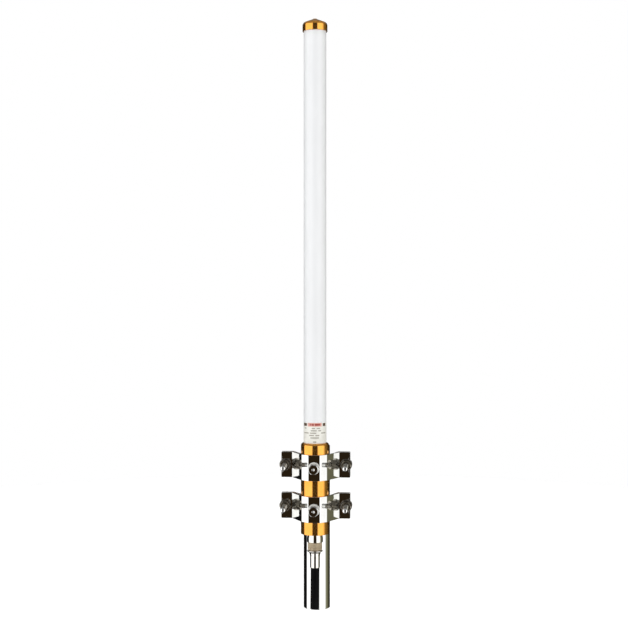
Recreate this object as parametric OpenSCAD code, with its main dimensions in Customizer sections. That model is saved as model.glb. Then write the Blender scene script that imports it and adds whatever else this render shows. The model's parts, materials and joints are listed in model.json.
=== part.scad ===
// Omnidirectional antenna in a fibreglass radome, held to a short mast tube by two stainless clamps.
// The origin is on the mast's axis at its lower end. +Z is up, and the antenna stands on the -Y side.

/* [Mast] */
// Outside diameter of the mast tube
mast_d = 31.75; // [30:0.05:33]
// Wall of the mast tube
mast_wall = 1.65; // [1.2:0.05:3]
// Length of the mast tube
mast_len = 196; // [194:1:200]

/* [Antenna] */
// Height of the base sleeve's lower face above the mast's lower end
sleeve_z = 95.7; // [94:0.1:98]
// Outside diameter of the base sleeve
sleeve_d = 33.4; // [32:0.1:34]
// Length of the base sleeve
sleeve_len = 107.7; // [105:0.1:112]
// Radius that rounds the base sleeve's top edge
sleeve_round = 3.3; // [1:0.1:3.3]
// Outside diameter of the radome tube
radome_d = 26.7; // [26:0.1:26.8]
// Wall of the radome tube
radome_wall = 2.4; // [2:0.1:2.6]
// Height of the radome's upper end above the mast's lower end
radome_top_z = 697; // [640:1:720]
// Outside diameter of the top cap
cap_d = 29.6; // [29.2:0.1:31]
// Height of the top cap's skirt, up to the start of its rounded shoulder
cap_skirt = 6.9; // [6.4:0.1:10]
// Radius of the top cap's shoulder
cap_shoulder = 4.5; // [3:0.1:5]
// Slope of the top cap's crown in degrees
cap_slope = 21.5; // [15:0.5:30]
// Height of the label wrapped round the foot of the radome
label_h = 24; // [15:1:40]

/* [Clamps] */
// Height of each clamp bracket
bracket_h = 30.4; // [28:0.1:31]
// Height of a rear bracket where it goes round the mast
waist_h = 13.6; // [12:0.2:28]
// Thickness of the bracket's sheet
sheet = 2; // [1.5:0.1:2.2]
// Height of the lower clamp's middle above the mast's lower end
lower_clamp_z = 126.3; // [124:0.1:128]
// Height of the upper clamp's middle above the mast's lower end
upper_clamp_z = 175.3; // [173:0.1:177]
// Turn of the two facets next to the bracket's flat, in degrees
facet_turns = [41, 61.5]; // [30:0.5:70]
// Half the width of a bracket over its two ears
ear_reach = 41.5; // [40:0.1:44]
// How far the ears' front lies behind the tube's axis
ear_setback = 12; // [11.5:0.1:13]
// Distance of each clamp bolt from the middle
bolt_x = 36.5; // [35.5:0.1:37]

/* [Fasteners] */
// Diameter of the clamp bolts and grip bolts
bolt_d = 6.35; // [6:0.05:6.4]
// Length of a clamp bolt under its head
bolt_len = 44.45; // [42:0.05:51]
// Length of a grip bolt under its head
grip_len = 11; // [10.6:0.1:13]
// Height of a bolt's head
bolt_head_h = 4.1; // [3.5:0.1:5]
// Width of nuts and bolt heads across their flats
nut_af = 11.11; // [10:0.01:11.5]
// Height of a nut
nut_h = 5.6; // [4.5:0.1:6]
// Diameter of the flat washers
washer_d = 14; // [13:0.1:15]
// Thickness of the flat washers
washer_t = 1.3; // [1:0.1:1.6]
// Thickness of the spring washers
lock_washer_t = 1.6; // [1.2:0.1:1.8]

/* [Connector and feeder] */
// Diameter of the socket's threaded barrel
barrel_d = 15.8; // [15.6:0.1:15.9]
// Length of the barrel below the base sleeve
barrel_len = 10.8; // [10:0.1:12]
// Largest diameter of the plug's coupling nut
coupling_d = 19; // [18.6:0.1:20]
// Length of the coupling nut's knurled waist
knurl_len = 9.3; // [8:0.1:10]
// Diameter of the plug's tail
tail_d = 11.8; // [11.4:0.1:13]
// Diameter of the feeder cable
feeder_d = 10.3; // [9.9:0.1:10.4]

/* [Hidden] */

$fn = 96;

// Colours of the materials
stainless = [0.80, 0.80, 0.78];
gold_anodised = [0.90, 0.62, 0.22];
radome_white = [0.96, 0.96, 0.95];
label_cream = [0.93, 0.92, 0.86];
seal_rubber = [0.12, 0.12, 0.12];
nickel = [0.74, 0.72, 0.66];
ptfe = [0.94, 0.94, 0.92];
brass = [0.80, 0.62, 0.30];
copper = [0.78, 0.45, 0.28];
acetal = [0.20, 0.20, 0.22];
foam_grey = [0.55, 0.56, 0.58];
cable_black = [0.05, 0.05, 0.05];

// Gap between faces of bodies that slide past each other, a running fit, and a glued or pressed joint
slide_gap = 0.3;
running_gap = 0.08;
joint_gap = 0.05;

// The antenna's axis stands this far in front of the mast's axis
axis_gap = sleeve_d / 2 + mast_d / 2 + slide_gap;

// Bracket: each facet is a line given by its turn from the front and its distance from the tube's axis
hug_r = sleeve_d / 2 + slide_gap;
facets = [
    [0, hug_r + sheet],
    [facet_turns[0], hug_r + sheet],
    [facet_turns[1], hug_r + sheet],
    [0, -ear_setback]
];

// The edges of a rear bracket slope in from just before its ears to this place in front of the tube's axis
slope_from_y = ear_setback - 0.5;
waist_y = -12;
bolt_hole_r = bolt_d / 2 + 0.35;
thread_hole_r = bolt_d / 2 + running_gap;

// Y places of the clamp parts, measured from the antenna's axis
front_flat_y = -hug_r - sheet;
ear_front_y = ear_setback;
rear_axis_y = axis_gap + mast_d / 2 - sleeve_d / 2;
rear_ear_back_y = rear_axis_y - ear_setback;
nut_back_y = ear_front_y - washer_t - lock_washer_t;
head_front_y = rear_ear_back_y + washer_t;
jam_nut_back_y = front_flat_y - washer_t;

// Heights inside the base sleeve
sleeve_top_z = sleeve_z + sleeve_len;
radome_foot_z = 140;
base_plug_r = 13;
base_plug_h = 6;
flange_h = 2;
lock_ring_h = 4;
flange_r = 10;
spigot_r = 5.5;
socket_top_z = sleeve_z + 16;
mouth_z = sleeve_z - barrel_len;
bead_z = sleeve_z - 6;
socket_bore_r = 4.3;
contact_r = 1.5;
contact_hole_r = 0.9;
seal_groove = [1.2, 2.4];
seal_z = sleeve_top_z - 8;
cap_gasket_h = 1;
label_t = 0.15;

// Heights inside the plug, where the coupling nut's inner shoulder bears on the body's flange
coupling_z = 76;
shoulder_z = 80.7;
plug_flange_z = 80.8;
plug_flange_top_z = 84.2;
shell_r = 4.2;
plug_bore_r = 3.7;
plug_neck_r = 7;
plug_thread_r = 6.5;
plug_rear_z = 73.3;
plug_tail_z = 55.2;
gland_seat_z = 72.4;
insulator_foot_z = 74.5;
pin_r = 1.55;
pin_tip_r = 0.8;
core_r = 1.1;

// Radiators stand on the antenna's axis between these heights, with a phasing coil in each gap
radiator_spans = [[238, 352], [372, 500], [520, 662]];
radiator_r = 2.5;
coil_turns = 4;
coil_r = 4.3;
coil_wire_r = 0.6;
former_r = 3.4;
foam_heights = [222, 300, 440, 580, 672];
foam_h = 9;

// Coaxial feed from the socket up to the lowest radiator, and the choke round it
feed_r = 1.8;
feed_core_r = 0.5;
feed_foot_z = socket_top_z + 2.2;
feed_top_z = radiator_spans[0][0] - 5.8;
choke_z = 190;
choke_h = 26;
choke_r = 6;
choke_wall = 0.6;
choke_floor = 2;

// Free length of the feeder: it leaves the plug straight down and ends cut off square
feeder_route = [
    [0, 72], [0, 61], [0, 50], [-0.1, 39], [-0.2, 28], [-0.35, 17], [-0.5, 6]
];
feeder_sides = 12;

// ---------- helpers ----------

// Point where two lines meet, each given by its normal's turn from -Y and its distance from the origin
function meet(a, b) = let (s = sin(b[0] - a[0]))
    [(cos(a[0]) * b[1] - cos(b[0]) * a[1]) / s, (sin(a[0]) * b[1] - sin(b[0]) * a[1]) / s];

// Corners of a row of facets, moved inwards by a depth, ending at the ear's tip
function facet_corners(depth) = [
    for (i = [0 : len(facets) - 2])
        meet([facets[i][0], facets[i][1] - depth], [facets[i + 1][0], facets[i + 1][1] - depth]),
    [ear_reach, ear_front_y + depth]
];

function reversed(points) = [for (i = [len(points) - 1 : -1 : 0]) points[i]];

// The mirror image of a row of points, from its far end to the middle, and then the row itself
function both_sides(points) = concat([for (p = reversed(points)) [-p[0], p[1]]], points);

module on_antenna_axis() {
    translate([0, -axis_gap, 0]) children();
}

// A ring standing on z, with its bore
module ring(r_out, r_in, z, h) {
    translate([0, 0, z]) difference() {
        cylinder(r = r_out, h = h);
        translate([0, 0, -1]) cylinder(r = r_in, h = h + 2);
    }
}

// Turns a shape made along +Z so that it points forward, along -Y, from a place beside the antenna's axis
module facing_front(x, y, z) {
    on_antenna_axis() translate([x, y, z]) rotate([90, 0, 0]) children();
}

// Hexagon with its top corners turned off
module chamfered_hexagon(af, h) {
    corner_r = af / sqrt(3);
    chamfer_h = 0.8;
    intersection() {
        cylinder(r = corner_r, h = h, $fn = 6);
        union() {
            cylinder(r = corner_r + 0.1, h = h - chamfer_h);
            translate([0, 0, h - chamfer_h]) cylinder(r1 = corner_r + 0.1, r2 = af / 2 - 0.3, h = chamfer_h);
        }
    }
}

// Hexagon bolt head with a shallow dish in its crown
module bolt_head() {
    dish_h = 0.7;
    difference() {
        chamfered_hexagon(nut_af, bolt_head_h);
        translate([0, 0, bolt_head_h - dish_h]) cylinder(r1 = 1.6, r2 = 2.8, h = dish_h + 0.01);
    }
}

// ---------- mast ----------

module mast_stub() {
    color(stainless) ring(mast_d / 2, mast_d / 2 - mast_wall, 0, mast_len);
}

// ---------- antenna ----------

module radome_tube() {
    color(radome_white) on_antenna_axis()
        ring(radome_d / 2, radome_d / 2 - radome_wall, radome_foot_z, radome_top_z - radome_foot_z);
}

module top_cap() {
    r = cap_d / 2;
    ceiling_z = radome_top_z + cap_gasket_h;
    shoulder_centre = [r - cap_shoulder, ceiling_z - 0.1];
    tangent = shoulder_centre + cap_shoulder * [sin(cap_slope), cos(cap_slope)];
    button_r = 2.7;
    button_h = 0.5;
    crown_z = tangent[1] + (tangent[0] - button_r) * tan(cap_slope);
    color(gold_anodised) on_antenna_axis() rotate_extrude() difference() {
        union() {
            polygon([
                [0, shoulder_centre[1] - cap_skirt],
                [r, shoulder_centre[1] - cap_skirt],
                [r, shoulder_centre[1]],
                shoulder_centre,
                tangent,
                [button_r, crown_z],
                [button_r - 0.2, crown_z + button_h],
                [0, crown_z + button_h]
            ]);
            translate(shoulder_centre) intersection() {
                circle(r = cap_shoulder);
                square(cap_shoulder);
            }
        }
        translate([0, ceiling_z - cap_skirt - 1]) square([radome_d / 2 + joint_gap, cap_skirt + 1]);
    }
}

module cap_gasket() {
    color(seal_rubber) on_antenna_axis()
        ring(radome_d / 2 - 0.2, radome_d / 2 - radome_wall, radome_top_z, cap_gasket_h);
}

module base_sleeve() {
    r = sleeve_d / 2;
    round_z = sleeve_top_z - sleeve_round;
    bore_r = radome_d / 2 + joint_gap;
    color(gold_anodised) on_antenna_axis() rotate_extrude() difference() {
        union() {
            translate([0, sleeve_z]) square([r, round_z - sleeve_z]);
            translate([0, sleeve_z]) square([r - sleeve_round, sleeve_len]);
            translate([r - sleeve_round, round_z]) intersection() {
                circle(r = sleeve_round);
                square(sleeve_round);
            }
        }
        square([base_plug_r, sleeve_z + base_plug_h + lock_ring_h]);
        square([base_plug_r - 1, radome_foot_z]);
        translate([0, radome_foot_z]) square([bore_r, sleeve_top_z]);
        translate([0, seal_z]) square([bore_r + seal_groove[0], seal_groove[1]]);
    }
}

module sleeve_seal() {
    bore_r = radome_d / 2 + joint_gap;
    color(seal_rubber) on_antenna_axis() ring(bore_r + seal_groove[0], bore_r, seal_z, seal_groove[1]);
}

module label_wrap() {
    color(label_cream) on_antenna_axis()
        ring(radome_d / 2 + joint_gap + label_t, radome_d / 2 + joint_gap, sleeve_top_z + 0.5, label_h);
}

// ---------- socket in the foot of the antenna ----------

module base_plug() {
    gasket_r = flange_r - 0.3;
    color(gold_anodised) on_antenna_axis() difference() {
        ring(base_plug_r, barrel_d / 2 + joint_gap, sleeve_z, base_plug_h);
        ring(gasket_r, barrel_d / 2 - 1, sleeve_z + base_plug_h - 0.8, 2);
    }
}

module socket_lock_ring() {
    seat_z = sleeve_z + base_plug_h;
    color(nickel) on_antenna_axis() difference() {
        ring(base_plug_r - joint_gap, spigot_r + 0.5, seat_z, lock_ring_h);
        translate([0, 0, seat_z - 1]) cylinder(r = flange_r + joint_gap, h = flange_h + 1);
    }
}

module socket_body() {
    flange_z = sleeve_z + base_plug_h;
    color(nickel) on_antenna_axis() rotate_extrude() difference() {
        union() {
            translate([0, mouth_z]) square([barrel_d / 2, flange_z - mouth_z]);
            translate([0, flange_z]) square([flange_r, flange_h]);
            translate([0, flange_z]) square([spigot_r, socket_top_z - flange_z]);
        }
        translate([0, mouth_z - 1]) square([socket_bore_r, socket_top_z]);
    }
}

module socket_gasket() {
    color(seal_rubber) on_antenna_axis()
        ring(flange_r - 0.5, barrel_d / 2 + 0.2, sleeve_z + base_plug_h - 0.7, 0.6);
}

module socket_insulator() {
    color(ptfe) on_antenna_axis()
        ring(socket_bore_r - joint_gap, contact_r + joint_gap, bead_z, socket_top_z - bead_z);
}

module socket_contact() {
    lip_z = mouth_z + 1.8;
    color(brass) on_antenna_axis() difference() {
        translate([0, 0, lip_z]) cylinder(r = contact_r, h = socket_top_z + 2 - lip_z);
        translate([0, 0, lip_z - 1]) cylinder(r = contact_hole_r, h = 9);
    }
}

// ---------- radiating elements inside the radome ----------

module feed_coax() {
    color(copper) on_antenna_axis()
        ring(feed_r, feed_core_r + joint_gap, feed_foot_z, feed_top_z - feed_foot_z);
}

// Runs through the coaxial feed and on to the lowest radiator
module feed_core() {
    color(copper) on_antenna_axis() translate([0, 0, feed_foot_z])
        cylinder(r = feed_core_r, h = radiator_spans[0][0] - feed_foot_z);
}

// Quarter-wave tube, closed at its lower end, that keeps current off the feed
module choke_sleeve() {
    color(brass) on_antenna_axis() difference() {
        translate([0, 0, choke_z]) cylinder(r = choke_r, h = choke_h);
        translate([0, 0, choke_z + choke_floor]) cylinder(r = choke_r - choke_wall, h = choke_h);
        translate([0, 0, choke_z - 1]) cylinder(r = feed_r + joint_gap, h = choke_h);
    }
}

module radiator(span) {
    color(brass) on_antenna_axis() translate([0, 0, span[0]]) cylinder(r = radiator_r, h = span[1] - span[0]);
}

module lower_radiator() {
    radiator(radiator_spans[0]);
}

module middle_radiator() {
    radiator(radiator_spans[1]);
}

module upper_radiator() {
    radiator(radiator_spans[2]);
}

module coil_formers() {
    color(acetal) on_antenna_axis() for (i = [0, 1])
        translate([0, 0, radiator_spans[i][1]])
            cylinder(r = former_r, h = radiator_spans[i + 1][0] - radiator_spans[i][1]);
}

// Wire helix round a former, swept as a chain of small rings of points
module phasing_coil(z, h) {
    wire_sides = 6;
    steps_per_turn = 16;
    steps = coil_turns * steps_per_turn;
    points = [
        for (i = [0 : steps], k = [0 : wire_sides - 1])
            let (turn = 360 * i / steps_per_turn, side = 360 * k / wire_sides)
                let (across = coil_r + coil_wire_r * cos(side), up = h * i / steps)
                    [across * cos(turn), across * sin(turn), up + coil_wire_r * sin(side)]
    ];
    sides = [
        for (i = [0 : steps - 1], k = [0 : wire_sides - 1])
            let (a = i * wire_sides + k, b = i * wire_sides + (k + 1) % wire_sides)
                [a, a + wire_sides, b + wire_sides, b]
    ];
    first_end = [for (k = [0 : wire_sides - 1]) k];
    last_end = [for (k = [wire_sides - 1 : -1 : 0]) steps * wire_sides + k];
    translate([0, 0, z]) polyhedron(points, concat(sides, [first_end, last_end]));
}

module phasing_coils() {
    inset = 2;
    color(copper) on_antenna_axis() for (i = [0, 1]) {
        gap = radiator_spans[i + 1][0] - radiator_spans[i][1];
        phasing_coil(radiator_spans[i][1] + inset, gap - 2 * inset);
    }
}

// Foam discs that keep the elements in the middle of the radome
module foam_spacers() {
    color(foam_grey) on_antenna_axis() for (i = [0 : len(foam_heights) - 1]) {
        hole_r = (i == 0 ? feed_r : radiator_r) + joint_gap;
        if (i < len(foam_heights) - 1)
            ring(radome_d / 2 - radome_wall - joint_gap, hole_r, foam_heights[i], foam_h);
        else
            translate([0, 0, foam_heights[i]])
                cylinder(r = radome_d / 2 - radome_wall - joint_gap, h = radome_top_z - foam_heights[i]);
    }
}

// ---------- clamps ----------

// Stamped bracket seen from above: a flat, then two facets and an ear with a bolt hole on each side
module bracket(with_grip_hole) {
    front_edge = both_sides(facet_corners(0));
    back_edge = both_sides(facet_corners(sheet));
    difference() {
        translate([0, 0, -bracket_h / 2]) linear_extrude(bracket_h)
            polygon(concat(front_edge, reversed(back_edge)));
        for (side = [-1, 1])
            translate([side * bolt_x, 0, 0]) rotate([-90, 0, 0]) cylinder(r = bolt_hole_r, h = 40);
        if (with_grip_hole)
            rotate([90, 0, 0]) cylinder(r = thread_hole_r, h = 40);
    }
}

module front_bracket(z) {
    color(stainless) on_antenna_axis() translate([0, 0, z]) bracket(true);
}

// What is left of a bracket seen from its side when its edges are drawn in round the tube
module drawn_in_side() {
    slope = (bracket_h - waist_h) / 2 / (slope_from_y - waist_y);
    behind_ears = ear_setback + 2 * sheet;
    top_edge = [
        [-hug_r - 2 * sheet, waist_h / 2],
        [waist_y, waist_h / 2],
        [behind_ears, waist_h / 2 + slope * (behind_ears - waist_y)]
    ];
    bottom_edge = [for (p = reversed(top_edge)) [p[0], -p[1]]];
    half_width = ear_reach + 1;
    rotate([90, 0, 90]) translate([0, 0, -half_width]) linear_extrude(2 * half_width)
        polygon(concat(top_edge, bottom_edge));
}

// The same stamping turned round the mast, with its edges drawn in between the ears
module rear_bracket(z) {
    color(stainless) on_antenna_axis() translate([0, rear_axis_y, z]) mirror([0, 1, 0])
        intersection() {
            bracket(false);
            drawn_in_side();
        }
}

// Two hexagon bolts whose heads bear on the rear bracket
module clamp_bolts(z) {
    tip = 0.7;
    color(stainless) for (side = [-1, 1])
        facing_front(side * bolt_x, head_front_y, z) {
            mirror([0, 0, 1]) bolt_head();
            cylinder(r = bolt_d / 2, h = bolt_len - tip);
            translate([0, 0, bolt_len - tip]) cylinder(r1 = bolt_d / 2, r2 = bolt_d / 2 - tip, h = tip);
        }
}

// A pair of flat washers whose front faces lie at a Y place
module washer_pair(y, z) {
    color(stainless) for (side = [-1, 1])
        facing_front(side * bolt_x, y + washer_t, z) ring(washer_d / 2, bolt_hole_r, 0, washer_t);
}

// A pair of split spring washers under the nuts
module lock_washer_pair(z) {
    split_w = 1;
    color(stainless) for (side = [-1, 1])
        facing_front(side * bolt_x, nut_back_y + lock_washer_t, z) difference() {
            ring(bolt_d / 2 + 2.5, bolt_hole_r, 0, lock_washer_t);
            rotate(40) translate([0, -split_w / 2, -1]) cube([8, split_w, lock_washer_t + 2]);
        }
}

// A nut whose rear face lies at a place beside the antenna's axis
module hexagon_nut(x, y, z) {
    color(stainless) facing_front(x, y, z) difference() {
        chamfered_hexagon(nut_af, nut_h);
        translate([0, 0, -1]) cylinder(r = thread_hole_r, h = nut_h + 2);
    }
}

// Bolt through the front flat, whose tip stops just short of the sleeve
module grip_bolt(z) {
    color(stainless) facing_front(0, -sleeve_d / 2 - 0.2, z) {
        cylinder(r = bolt_d / 2, h = grip_len);
        translate([0, 0, grip_len]) bolt_head();
    }
}

module grip_washer(z) {
    color(stainless) facing_front(0, front_flat_y, z) ring(washer_d / 2, bolt_hole_r, 0, washer_t);
}

module lower_rear_bracket() {
    rear_bracket(lower_clamp_z);
}

module lower_bolts() {
    clamp_bolts(lower_clamp_z);
}

module lower_rear_washers() {
    washer_pair(rear_ear_back_y, lower_clamp_z);
}

module lower_front_bracket() {
    front_bracket(lower_clamp_z);
}

module lower_front_washers() {
    washer_pair(ear_front_y - washer_t, lower_clamp_z);
}

module lower_lock_washers() {
    lock_washer_pair(lower_clamp_z);
}

module lower_left_nut() {
    hexagon_nut(-bolt_x, nut_back_y, lower_clamp_z);
}

module lower_right_nut() {
    hexagon_nut(bolt_x, nut_back_y, lower_clamp_z);
}

module lower_grip_bolt() {
    grip_bolt(lower_clamp_z);
}

module lower_grip_washer() {
    grip_washer(lower_clamp_z);
}

module lower_jam_nut() {
    hexagon_nut(0, jam_nut_back_y, lower_clamp_z);
}

module upper_rear_bracket() {
    rear_bracket(upper_clamp_z);
}

module upper_bolts() {
    clamp_bolts(upper_clamp_z);
}

module upper_rear_washers() {
    washer_pair(rear_ear_back_y, upper_clamp_z);
}

module upper_front_bracket() {
    front_bracket(upper_clamp_z);
}

module upper_front_washers() {
    washer_pair(ear_front_y - washer_t, upper_clamp_z);
}

module upper_lock_washers() {
    lock_washer_pair(upper_clamp_z);
}

module upper_left_nut() {
    hexagon_nut(-bolt_x, nut_back_y, upper_clamp_z);
}

module upper_right_nut() {
    hexagon_nut(bolt_x, nut_back_y, upper_clamp_z);
}

module upper_grip_bolt() {
    grip_bolt(upper_clamp_z);
}

module upper_grip_washer() {
    grip_washer(upper_clamp_z);
}

module upper_jam_nut() {
    hexagon_nut(0, jam_nut_back_y, upper_clamp_z);
}

// ---------- plug and feeder ----------

module plug_coupling_nut() {
    r = coupling_d / 2;
    top_z = sleeve_z - 0.8;
    waist_r = r - 0.6;
    waist_top_z = coupling_z + knurl_len;
    color(nickel) on_antenna_axis() rotate_extrude() difference() {
        polygon([
            [0, coupling_z],
            [waist_r, coupling_z],
            [waist_r, waist_top_z],
            [r, waist_top_z + 0.4],
            [r, top_z - 4.5],
            [r - 0.9, top_z],
            [0, top_z]
        ]);
        translate([0, coupling_z - 1]) square([plug_neck_r + running_gap, 20]);
        translate([0, shoulder_z]) square([barrel_d / 2 + running_gap, 20]);
    }
}

module plug_body() {
    shell_top_z = 88.8;
    color(nickel) on_antenna_axis() rotate_extrude() difference() {
        union() {
            translate([0, plug_rear_z]) square([plug_thread_r, coupling_z - plug_rear_z]);
            translate([0, coupling_z - 0.2]) square([plug_neck_r, plug_flange_z - coupling_z + 0.2]);
            translate([0, plug_flange_z]) square([barrel_d / 2 - 0.2, plug_flange_top_z - plug_flange_z]);
            translate([0, plug_flange_top_z]) square([shell_r, shell_top_z - plug_flange_top_z]);
        }
        translate([0, plug_rear_z - 1]) square([plug_bore_r, 30]);
    }
}

module plug_gasket() {
    color(seal_rubber) on_antenna_axis()
        ring(plug_neck_r - 0.2, shell_r + joint_gap, plug_flange_top_z, mouth_z - plug_flange_top_z);
}

module plug_insulator() {
    insulator_h = plug_flange_top_z - insulator_foot_z;
    color(ptfe) on_antenna_axis()
        ring(plug_bore_r - joint_gap, pin_r + joint_gap, insulator_foot_z, insulator_h);
}

module plug_pin() {
    foot_z = insulator_foot_z + 1;
    step_z = 86;
    tip_z = 92;
    color(brass) on_antenna_axis() difference() {
        union() {
            translate([0, 0, foot_z]) cylinder(r = pin_r, h = step_z - foot_z);
            translate([0, 0, step_z]) cylinder(r = pin_tip_r, h = tip_z - step_z);
        }
        translate([0, 0, foot_z - 1]) cylinder(r = core_r + joint_gap, h = 5);
    }
}

// Gland nut: a rim and a cone behind the coupling nut, then a narrow tail round the cable
module plug_gland_nut() {
    r = coupling_d / 2;
    rim_z = coupling_z - 0.3;
    color(nickel) on_antenna_axis() rotate_extrude() difference() {
        polygon([
            [0, plug_tail_z],
            [tail_d / 2 - 0.4, plug_tail_z],
            [tail_d / 2, plug_tail_z + 0.4],
            [tail_d / 2, rim_z - 6.4],
            [tail_d / 2 + 0.9, rim_z - 3],
            [r, rim_z - 0.9],
            [r, rim_z],
            [0, rim_z]
        ]);
        square([feeder_d / 2 + 0.2, 100]);
        translate([0, gland_seat_z]) square([plug_thread_r + joint_gap, 20]);
    }
}

module plug_gland_gasket() {
    color(seal_rubber) on_antenna_axis()
        ring(plug_thread_r, plug_bore_r, gland_seat_z, plug_rear_z - gland_seat_z);
}

// Jacketed cable swept along its route with flat rings of points
module feeder_cable() {
    count = len(feeder_route);
    points = [
        for (place = feeder_route, k = [0 : feeder_sides - 1])
            let (turn = 360 * k / feeder_sides)
                [place[0] + feeder_d / 2 * cos(turn), feeder_d / 2 * sin(turn), place[1]]
    ];
    sides = [
        for (i = [0 : count - 2], k = [0 : feeder_sides - 1])
            let (a = i * feeder_sides + k, b = i * feeder_sides + (k + 1) % feeder_sides)
                [a, b, b + feeder_sides, a + feeder_sides]
    ];
    first_end = [for (k = [feeder_sides - 1 : -1 : 0]) k];
    last_end = [for (k = [0 : feeder_sides - 1]) (count - 1) * feeder_sides + k];
    color(cable_black) on_antenna_axis() polyhedron(points, concat(sides, [first_end, last_end]));
}

module feeder_dielectric() {
    foot_z = feeder_route[0][1];
    color(ptfe) on_antenna_axis()
        ring(plug_bore_r - 0.1, core_r + joint_gap, foot_z, insulator_foot_z - foot_z);
}

module feeder_core() {
    foot_z = feeder_route[0][1];
    color(copper) on_antenna_axis() translate([0, 0, foot_z]) cylinder(r = core_r, h = 7.5);
}

mast_stub();
radome_tube();
top_cap();
cap_gasket();
base_sleeve();
sleeve_seal();
label_wrap();
base_plug();
socket_lock_ring();
socket_body();
socket_gasket();
socket_insulator();
socket_contact();
feed_coax();
feed_core();
choke_sleeve();
lower_radiator();
middle_radiator();
upper_radiator();
coil_formers();
phasing_coils();
foam_spacers();
lower_rear_bracket();
lower_bolts();
lower_rear_washers();
lower_front_bracket();
lower_front_washers();
lower_lock_washers();
lower_left_nut();
lower_right_nut();
lower_grip_bolt();
lower_grip_washer();
lower_jam_nut();
upper_rear_bracket();
upper_bolts();
upper_rear_washers();
upper_front_bracket();
upper_front_washers();
upper_lock_washers();
upper_left_nut();
upper_right_nut();
upper_grip_bolt();
upper_grip_washer();
upper_jam_nut();
plug_coupling_nut();
plug_body();
plug_gasket();
plug_insulator();
plug_pin();
plug_gland_nut();
plug_gland_gasket();
feeder_cable();
feeder_dielectric();
feeder_core();
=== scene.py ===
"""Looks of an omnidirectional antenna that two polished clamps hold beside a short mast tube.

Shapes are worked out in millimetres and become metres where a mesh is made. +Z is up, the antenna stands on
the mast's -Y side, and each piece takes its place from the CAD node that it stands for.
"""
import json
import math

import bmesh
import bpy
from mathutils import Matrix, Vector, geometry

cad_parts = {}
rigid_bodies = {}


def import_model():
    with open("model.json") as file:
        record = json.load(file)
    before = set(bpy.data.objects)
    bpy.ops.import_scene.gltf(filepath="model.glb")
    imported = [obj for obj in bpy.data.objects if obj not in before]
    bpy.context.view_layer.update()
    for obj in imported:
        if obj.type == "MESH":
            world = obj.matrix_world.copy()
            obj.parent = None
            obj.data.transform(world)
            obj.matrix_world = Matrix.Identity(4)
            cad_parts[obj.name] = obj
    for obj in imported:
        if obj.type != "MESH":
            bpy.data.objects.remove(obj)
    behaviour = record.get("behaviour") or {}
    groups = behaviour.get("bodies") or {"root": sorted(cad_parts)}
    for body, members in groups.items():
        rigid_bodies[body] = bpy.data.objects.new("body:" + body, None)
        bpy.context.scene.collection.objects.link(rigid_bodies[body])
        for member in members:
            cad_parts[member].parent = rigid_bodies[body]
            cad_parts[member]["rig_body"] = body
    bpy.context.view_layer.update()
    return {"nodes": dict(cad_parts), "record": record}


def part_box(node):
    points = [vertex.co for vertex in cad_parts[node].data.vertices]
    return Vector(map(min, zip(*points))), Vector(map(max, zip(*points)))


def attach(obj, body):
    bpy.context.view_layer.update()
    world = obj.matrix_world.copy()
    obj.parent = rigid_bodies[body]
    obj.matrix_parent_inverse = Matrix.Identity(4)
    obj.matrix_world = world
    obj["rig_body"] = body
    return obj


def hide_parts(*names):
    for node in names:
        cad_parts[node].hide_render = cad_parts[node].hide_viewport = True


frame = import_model()

MM = 0.001
TAU = math.tau
scene = bpy.context.scene
BODY = {name: node["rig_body"] for name, node in frame["nodes"].items()}
SLOT = {subpart["node"]: subpart["material_slot"] for subpart in frame["record"]["subparts"]}
CLAMPS = ("lower", "upper")
SIDES = (-1, 1)


def box_mm(name):
    """Lowest and highest corner of a CAD node, in millimetres."""
    low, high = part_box(name)
    return low / MM, high / MM


def middle_mm(name):
    low, high = box_mm(name)
    return (low + high) / 2


AXIS = middle_mm("radome_tube")
ON_AXIS = Matrix.Translation((AXIS.x, AXIS.y, 0))
FACING_FRONT = Matrix.Rotation(math.radians(90), 4, "X")  # turns +Z to -Y, and leaves +Y up

# ---------- camera ----------
CAMERA_DISTANCE = 1.45
CAMERA_HEIGHT = 0.382
CAMERA_AZIMUTH = math.radians(3.9)
CAMERA_SHIFT = -0.035  # the camera is level, and its frame reaches further down than up
CAMERA_YAW = math.radians(0.047)  # brings the antenna's axis just right of the picture's middle

camera_data = bpy.data.cameras.new("camera")
camera_data.lens = 70
camera_data.sensor_width = 36
camera_data.shift_y = CAMERA_SHIFT
camera_data.clip_start = 0.05
camera_data.clip_end = 50
camera = bpy.data.objects.new("camera", camera_data)
scene.collection.objects.link(camera)
camera.location = (
    AXIS.x * MM + CAMERA_DISTANCE * math.sin(CAMERA_AZIMUTH),
    AXIS.y * MM - CAMERA_DISTANCE * math.cos(CAMERA_AZIMUTH),
    CAMERA_HEIGHT,
)
camera.rotation_euler = (math.radians(90), 0, CAMERA_AZIMUTH + CAMERA_YAW)
scene.camera = camera
scene.view_settings.view_transform = "Standard"


# ---------- shapes ----------
# A shape is (points, faces) in millimetres.
STRAIGHT = math.radians(85)  # half the angle at a corner that is nearly straight and stays as it is
MOST_OF_EDGE = 0.45  # the share of an edge that one corner's rounding may take
CORNER_WEAR = 0.1  # how far a hexagon's corners are worn in
FACE_SHARE = 0.95  # a chamfered face's width, as a share of the width across flats
CHAMFER_SLOPE = math.sqrt(3)  # a nut's corners are turned off at 30 degrees
CHAMFER_STEPS = 6
FLANK_TOP, FLANK_SLOPE = 1.35, 3.2  # leave a thread crests 22% and roots 16% of its pitch wide
LEVELS_PER_PITCH = 8
TUBE_SIDES = 128  # of the tubes, the cap and the sleeve
PLUG_SIDES = 96
NUT_SIDES = 96
WASHER_SIDES = 72
SOCKET_SIDES = 72
CABLE_SIDES = 64
LAYER_SIDES = 48
CORE_SIDES = 32
BOLT_SIDES = 48


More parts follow.
